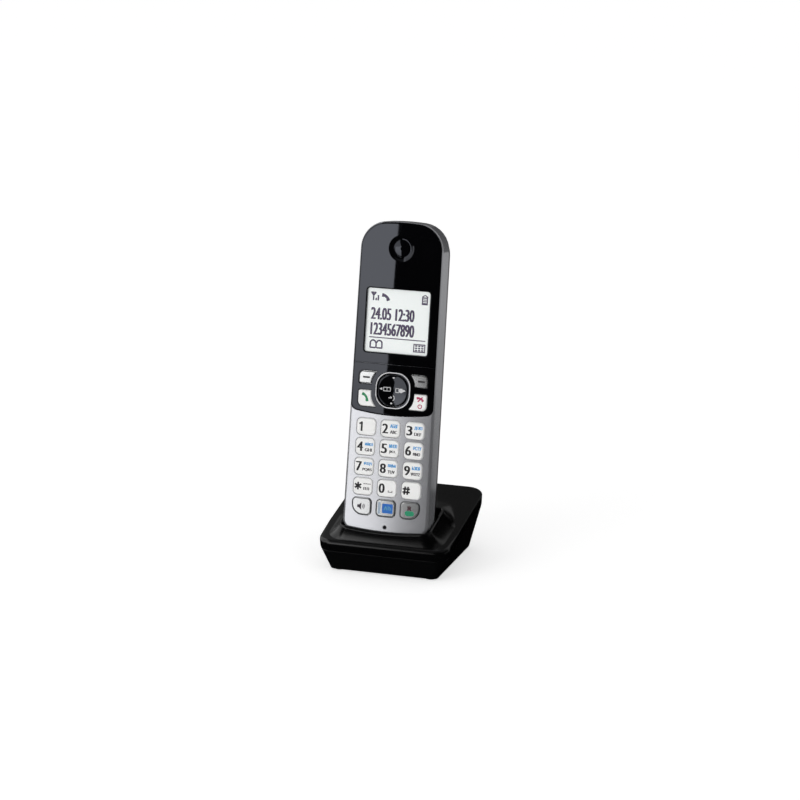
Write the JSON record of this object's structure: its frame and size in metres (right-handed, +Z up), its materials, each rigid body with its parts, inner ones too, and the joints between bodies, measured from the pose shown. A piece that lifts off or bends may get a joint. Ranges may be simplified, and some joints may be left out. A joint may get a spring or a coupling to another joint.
{
  "type": "cordless telephone handset with charging cradle",
  "caption": "Slim cordless handset with a display and keypad, standing tilted back in a low wedge-shaped charging cradle.",
  "frame": {"origin": "centre of the cradle's footprint on the table", "axes": "+Z up, front of the cradle towards -Y, handset leaning back towards +Y, +X to the right seen from the front"},
  "size_m": [0.075, 0.074, 0.1896],
  "materials": {
    "silver_plastic": "satin silver paint on moulded plastic",
    "black_gloss": "polished black",
    "black_case": "semi-gloss black moulding",
    "clear_window": "clear",
    "display_glass": "pale display glass",
    "key_plastic": "satin white-silver",
    "bright_ring": "polished",
    "white_plastic": "matt",
    "silicone": "matt",
    "board": "solder-masked laminate",
    "steel": "plain",
    "gold_contact": "plated spring metal",
    "cell_wrap": "printed sleeve",
    "dark_plastic": "matt",
    "rubber": "matt"
  },
  "bodies": {
    "cradle": {"cradle_top": "black_case", "cradle_bottom": "black_case", "cradle_board": "board", "power_inlet": "dark_plastic", "rubber_feet": "rubber", "cradle_screws": "steel"},
    "handset": {"front_case": "silver_plastic", "window_panel": "black_gloss", "display_window": "clear_window", "nav_panel": "black_gloss", "nav_ring": "bright_ring", "earpiece_cover": "black_gloss", "earpiece_speaker": "dark_plastic", "lcd_module": "display_glass", "light_guide": "white_plastic", "keypad_mat": "silicone", "main_board": "board", "rf_shield": "steel", "antenna": "steel", "microphone": "dark_plastic", "rear_case": "black_case", "ringer_speaker": "dark_plastic", "batteries": "cell_wrap", "battery_contacts": "gold_contact", "charge_terminals": "gold_contact", "handset_screws": "steel"},
    "soft_key_left": {"soft_key_left": "key_plastic"},
    "soft_key_right": {"soft_key_right": "key_plastic"},
    "talk_key": {"talk_key": "key_plastic"},
    "off_key": {"off_key": "key_plastic"},
    "key_1": {"key_1": "key_plastic"},
    "key_2": {"key_2": "key_plastic"},
    "key_3": {"key_3": "key_plastic"},
    "key_4": {"key_4": "key_plastic"},
    "key_5": {"key_5": "key_plastic"},
    "key_6": {"key_6": "key_plastic"},
    "key_7": {"key_7": "key_plastic"},
    "key_8": {"key_8": "key_plastic"},
    "key_9": {"key_9": "key_plastic"},
    "key_star": {"key_star": "key_plastic"},
    "key_0": {"key_0": "key_plastic"},
    "key_hash": {"key_hash": "key_plastic"},
    "speaker_key": {"speaker_key": "key_plastic"},
    "page_key": {"page_key": "key_plastic"},
    "recall_key": {"recall_key": "key_plastic"},
    "nav_tilt": {"nav_pivot": "dark_plastic"},
    "nav_cap": {"nav_key": "black_gloss"},
    "battery_cover": {"battery_cover": "black_case"},
    "contact_left": {"contact_left": "gold_contact"},
    "contact_right": {"contact_right": "gold_contact"}
  },
  "joints": [
    {"name": "handset_lift", "type": "slide", "parent": "cradle", "child": "handset", "axis": [0, 0.1908, 0.9816], "range_m": [0, 0.12]},
    {"name": "soft_key_left_press", "type": "slide", "parent": "handset", "child": "soft_key_left", "axis": [0, 0.9816, -0.1908], "range_m": [0, 0.0007], "stiffness_N_per_m": 2000},
    {"name": "soft_key_right_press", "type": "slide", "parent": "handset", "child": "soft_key_right", "axis": [0, 0.9816, -0.1908], "range_m": [0, 0.0007], "stiffness_N_per_m": 2000},
    {"name": "talk_key_press", "type": "slide", "parent": "handset", "child": "talk_key", "axis": [0, 0.9816, -0.1908], "range_m": [0, 0.0007], "stiffness_N_per_m": 2000},
    {"name": "off_key_press", "type": "slide", "parent": "handset", "child": "off_key", "axis": [0, 0.9816, -0.1908], "range_m": [0, 0.0007], "stiffness_N_per_m": 2000},
    {"name": "key_1_press", "type": "slide", "parent": "handset", "child": "key_1", "axis": [0, 0.9816, -0.1908], "range_m": [0, 0.0007], "stiffness_N_per_m": 2000},
    {"name": "key_2_press", "type": "slide", "parent": "handset", "child": "key_2", "axis": [0, 0.9816, -0.1908], "range_m": [0, 0.0007], "stiffness_N_per_m": 2000},
    {"name": "key_3_press", "type": "slide", "parent": "handset", "child": "key_3", "axis": [0, 0.9816, -0.1908], "range_m": [0, 0.0007], "stiffness_N_per_m": 2000},
    {"name": "key_4_press", "type": "slide", "parent": "handset", "child": "key_4", "axis": [0, 0.9816, -0.1908], "range_m": [0, 0.0007], "stiffness_N_per_m": 2000},
    {"name": "key_5_press", "type": "slide", "parent": "handset", "child": "key_5", "axis": [0, 0.9816, -0.1908], "range_m": [0, 0.0007], "stiffness_N_per_m": 2000},
    {"name": "key_6_press", "type": "slide", "parent": "handset", "child": "key_6", "axis": [0, 0.9816, -0.1908], "range_m": [0, 0.0007], "stiffness_N_per_m": 2000},
    {"name": "key_7_press", "type": "slide", "parent": "handset", "child": "key_7", "axis": [0, 0.9816, -0.1908], "range_m": [0, 0.0007], "stiffness_N_per_m": 2000},
    {"name": "key_8_press", "type": "slide", "parent": "handset", "child": "key_8", "axis": [0, 0.9816, -0.1908], "range_m": [0, 0.0007], "stiffness_N_per_m": 2000},
    {"name": "key_9_press", "type": "slide", "parent": "handset", "child": "key_9", "axis": [0, 0.9816, -0.1908], "range_m": [0, 0.0007], "stiffness_N_per_m": 2000},
    {"name": "key_star_press", "type": "slide", "parent": "handset", "child": "key_star", "axis": [0, 0.9816, -0.1908], "range_m": [0, 0.0007], "stiffness_N_per_m": 2000},
    {"name": "key_0_press", "type": "slide", "parent": "handset", "child": "key_0", "axis": [0, 0.9816, -0.1908], "range_m": [0, 0.0007], "stiffness_N_per_m": 2000},
    {"name": "key_hash_press", "type": "slide", "parent": "handset", "child": "key_hash", "axis": [0, 0.9816, -0.1908], "range_m": [0, 0.0007], "stiffness_N_per_m": 2000},
    {"name": "speaker_key_press", "type": "slide", "parent": "handset", "child": "speaker_key", "axis": [0, 0.9816, -0.1908], "range_m": [0, 0.0007], "stiffness_N_per_m": 2000},
    {"name": "page_key_press", "type": "slide", "parent": "handset", "child": "page_key", "axis": [0, 0.9816, -0.1908], "range_m": [0, 0.0007], "stiffness_N_per_m": 2000},
    {"name": "recall_key_press", "type": "slide", "parent": "handset", "child": "recall_key", "axis": [0, 0.9816, -0.1908], "range_m": [0, 0.0007], "stiffness_N_per_m": 2000},
    {"name": "nav_up_down", "type": "hinge", "parent": "handset", "child": "nav_tilt", "pos_m": [0, -0.01386, 0.09943], "axis": [1, 0, 0], "range_deg": [-2, 2], "stiffness_Nm_per_rad": 0.1},
    {"name": "nav_left_right", "type": "hinge", "parent": "nav_tilt", "child": "nav_cap", "pos_m": [0, -0.01386, 0.09943], "axis": [0, 0.1908, 0.9816], "range_deg": [-2, 2], "stiffness_Nm_per_rad": 0.1},
    {"name": "battery_cover_slide", "type": "slide", "parent": "handset", "child": "battery_cover", "axis": [0, -0.1908, -0.9816], "range_m": [0, 0.009]},
    {"name": "contact_left_flex", "type": "hinge", "parent": "cradle", "child": "contact_left", "pos_m": [-0.0055, -0.00741, 0.00659], "axis": [-1, 0, 0], "range_deg": [0, 3.4], "stiffness_Nm_per_rad": 0.3},
    {"name": "contact_right_flex", "type": "hinge", "parent": "cradle", "child": "contact_right", "pos_m": [0.0055, -0.00741, 0.00659], "axis": [-1, 0, 0], "range_deg": [0, 3.4], "stiffness_Nm_per_rad": 0.3}
  ]
}
